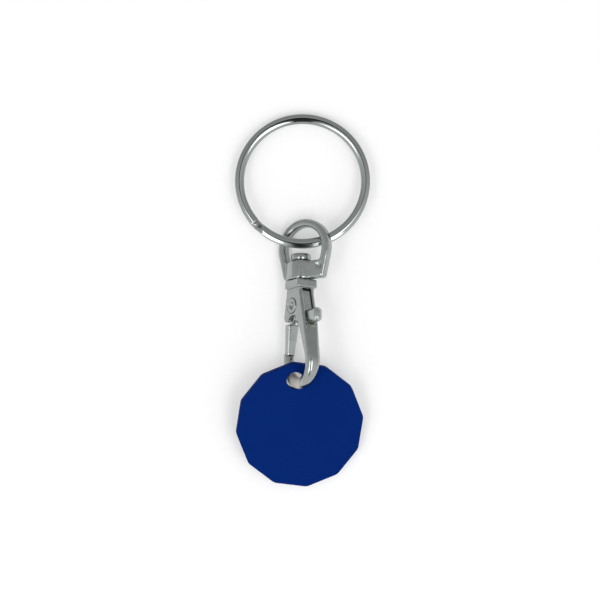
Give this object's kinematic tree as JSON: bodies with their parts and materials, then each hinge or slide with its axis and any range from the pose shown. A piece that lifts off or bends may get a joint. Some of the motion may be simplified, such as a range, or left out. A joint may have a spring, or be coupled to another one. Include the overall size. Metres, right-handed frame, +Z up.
{
  "type": "trolley token key ring",
  "caption": "Twelve-sided coin token on a sprung trigger hook with a swivel eye and a split ring, for coin-release trolleys and lockers.",
  "frame": {"origin": "on the table under the middle of the whole object as it lies flat", "axes": "+X across, +Y along the object from the token to the split ring, +Z up off the table"},
  "size_m": [0.0252, 0.0692, 0.0112],
  "materials": {
    "plated_casting": "bright nickel plate on die-cast zinc",
    "plated_wire": "bright nickel plate on steel wire",
    "rivet": "bright, with a hollow end",
    "spring_wire": "drawn steel wire",
    "token_plastic": "matte moulded blue"
  },
  "bodies": {
    "clip": {"hook_body": "plated_casting", "gate_pivot_pin": "rivet", "gate_spring": "spring_wire"},
    "eye": {"swivel_eye": "plated_casting"},
    "ring": {"split_ring": "plated_wire"},
    "gate": {"gate_lever": "plated_casting"},
    "token_body": {"token": "token_plastic"}
  },
  "joints": [
    {"name": "eye_swivel", "type": "hinge", "parent": "clip", "child": "eye", "pos_m": [-0.0003, 0.00373, 0.00419], "axis": [0, 0.9863, -0.165], "continuous": true},
    {"name": "ring_swing", "type": "hinge", "parent": "eye", "child": "ring", "pos_m": [0.00047, 0.01047, 0.00356], "axis": [0.9659, 0, -0.2588], "range_deg": [-90, 90]},
    {"name": "gate_open", "type": "hinge", "parent": "clip", "child": "gate", "pos_m": [-0.00071, -0.00116, 0.00436], "axis": [-0.8387, 0.0899, 0.5372], "range_deg": [0, 22], "stiffness_Nm_per_rad": 0.012, "springref_deg": -8.59, "deforming": ["gate_spring"]},
    {"name": "token_swing", "type": "hinge", "parent": "clip", "child": "token_body", "pos_m": [-0.00144, -0.01465, 0.00547], "axis": [0.1181, -0.2045, 0.9717], "range_deg": [-50, 24]}
  ]
}
